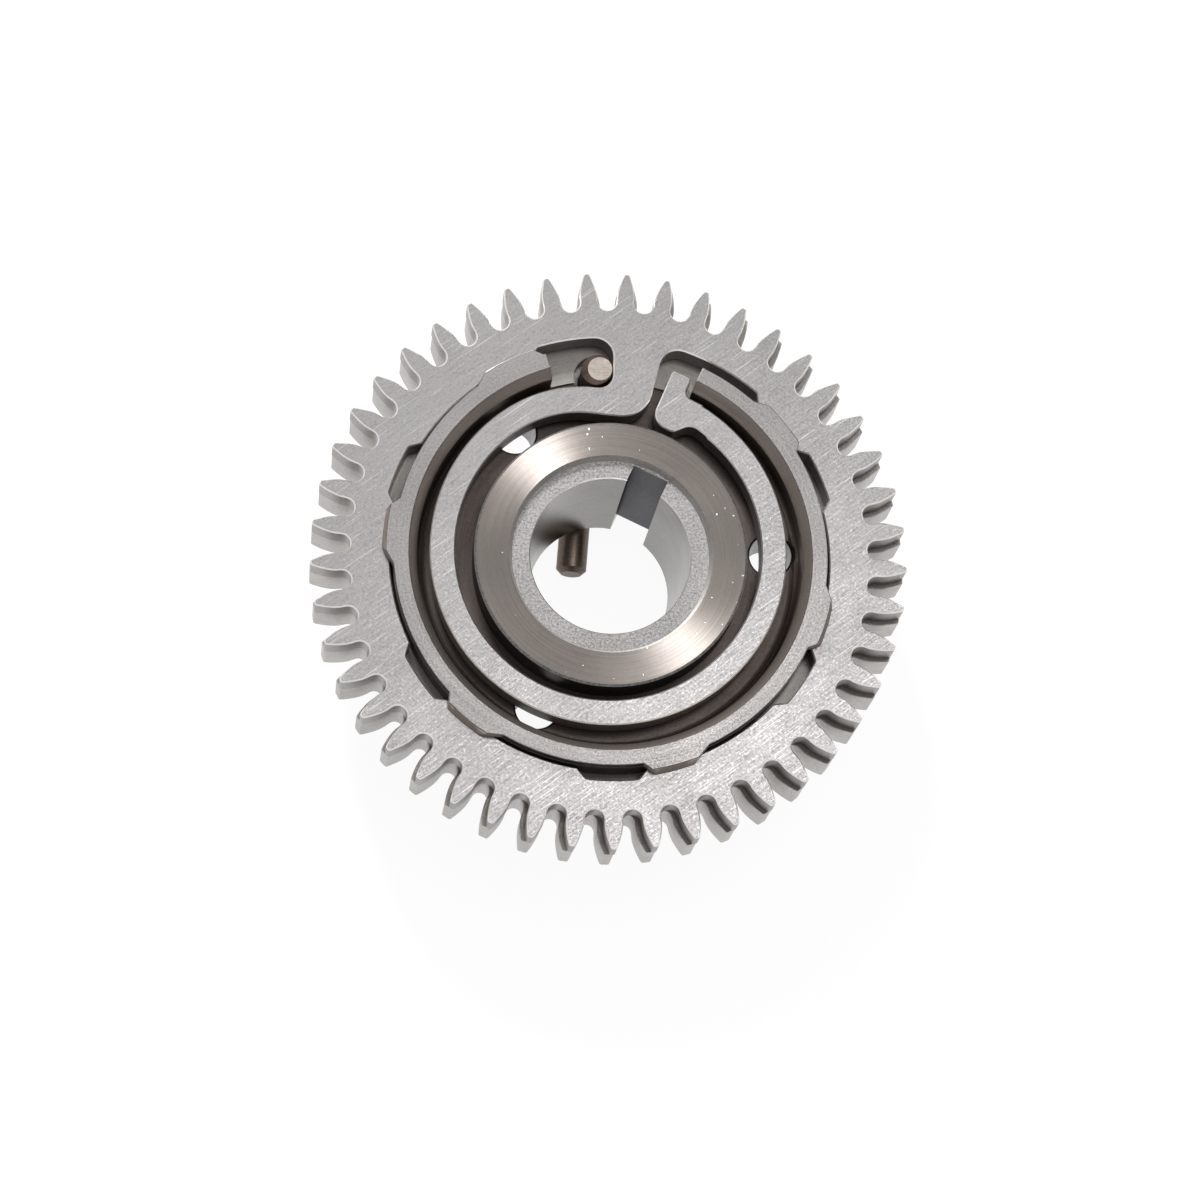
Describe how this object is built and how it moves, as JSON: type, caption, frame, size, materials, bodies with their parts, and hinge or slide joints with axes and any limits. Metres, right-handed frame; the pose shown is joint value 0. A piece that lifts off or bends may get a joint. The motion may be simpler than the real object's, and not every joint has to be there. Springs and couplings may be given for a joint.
{
  "type": "injection pump gear",
  "caption": "Taper-bored pump drive gear with a keyway and a sprung scissor plate on its front, held in line by an L-shaped lock pin.",
  "frame": {"origin": "on the axis of the tapered bore, in the plane of the scissor plate's front face", "axes": "+Z along the bore's axis, out of the front face; +X and +Y lie in the face, and the keyway points 66 degrees anticlockwise from +X"},
  "size_m": [0.0949, 0.095, 0.0319],
  "materials": {
    "sintered_steel": "matte sintered grain, with a turned hub face and dark, oiled grooves",
    "ground_steel": "ground, with long diagonal scratches and bright broken edges",
    "dark_wire": "dark brown drawn wire with a pale sheared end"
  },
  "bodies": {
    "main_gear": {"main_gear": "sintered_steel", "lock_pin": "dark_wire"},
    "scissor_plate": {"scissor_plate": "ground_steel"}
  },
  "joints": [
    {"name": "scissor_turn", "type": "hinge", "parent": "main_gear", "child": "scissor_plate", "pos_m": [0, 0, 0], "axis": [0, 0, 1], "range_deg": [-0.7, 0], "stiffness_Nm_per_rad": 0.2, "springref_deg": 1.15}
  ]
}
